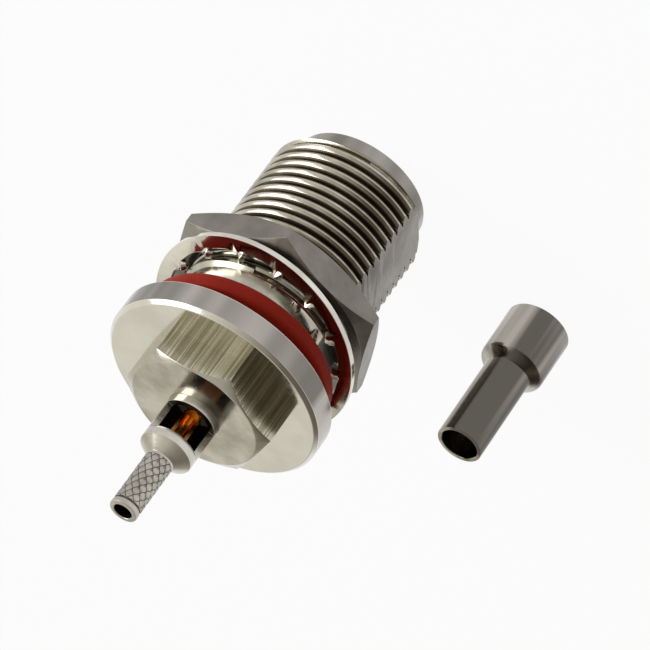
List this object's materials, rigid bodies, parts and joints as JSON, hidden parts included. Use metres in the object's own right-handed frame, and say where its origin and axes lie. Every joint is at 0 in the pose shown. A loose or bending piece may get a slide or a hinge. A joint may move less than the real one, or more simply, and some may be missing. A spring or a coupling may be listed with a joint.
{
  "type": "coaxial bulkhead connector",
  "caption": "Round threaded coaxial jack with flange, seal, lock washer, hexagon nut, windowed crimp tail and loose stepped ferrule.",
  "frame": {"origin": "centre of the rim at the connector's mouth, on which it stands", "axes": "+Z runs along the connector's axis from the mouth to the cable end; +X points out of the flat that keys the thread in its panel"},
  "size_m": [0.0318, 0.0236, 0.0412],
  "materials": {
    "nickel": "bright nickel plate on brass",
    "ptfe": "smooth waxy",
    "gold_plate": "gold plated",
    "silicone": "satin",
    "washer_steel": "bright plated spring steel",
    "ferrule_nickel": "dark bright nickel plate on soft brass"
  },
  "bodies": {
    "connector": {"main_body": "nickel", "crimp_tail": "nickel", "retaining_bush": "nickel", "front_insulator": "ptfe", "rear_insulator": "ptfe", "center_contact": "gold_plate", "flange_gasket": "silicone"},
    "washer": {"lock_washer": "washer_steel"},
    "nut": {"hex_nut": "nickel"},
    "ferrule": {"crimp_ferrule": "ferrule_nickel"}
  },
  "joints": [
    {"name": "nut_travel", "type": "slide", "parent": "connector", "child": "washer", "axis": [0, 0, 1], "range_m": [-0.0138, 0.0002]},
    {"name": "nut_turn", "type": "hinge", "parent": "washer", "child": "nut", "pos_m": [0, 0, 0.01545], "axis": [0, 0, 1], "range_deg": [-4680, 60]},
    {"name": "ferrule_lift", "type": "slide", "parent": "connector", "child": "ferrule", "axis": [0, 0, 1], "range_m": [0, 0.02]}
  ],
  "couplings": [
    {"joint": "nut_travel", "follows": "nut_turn", "m_per_rad": 0.00016844}
  ]
}
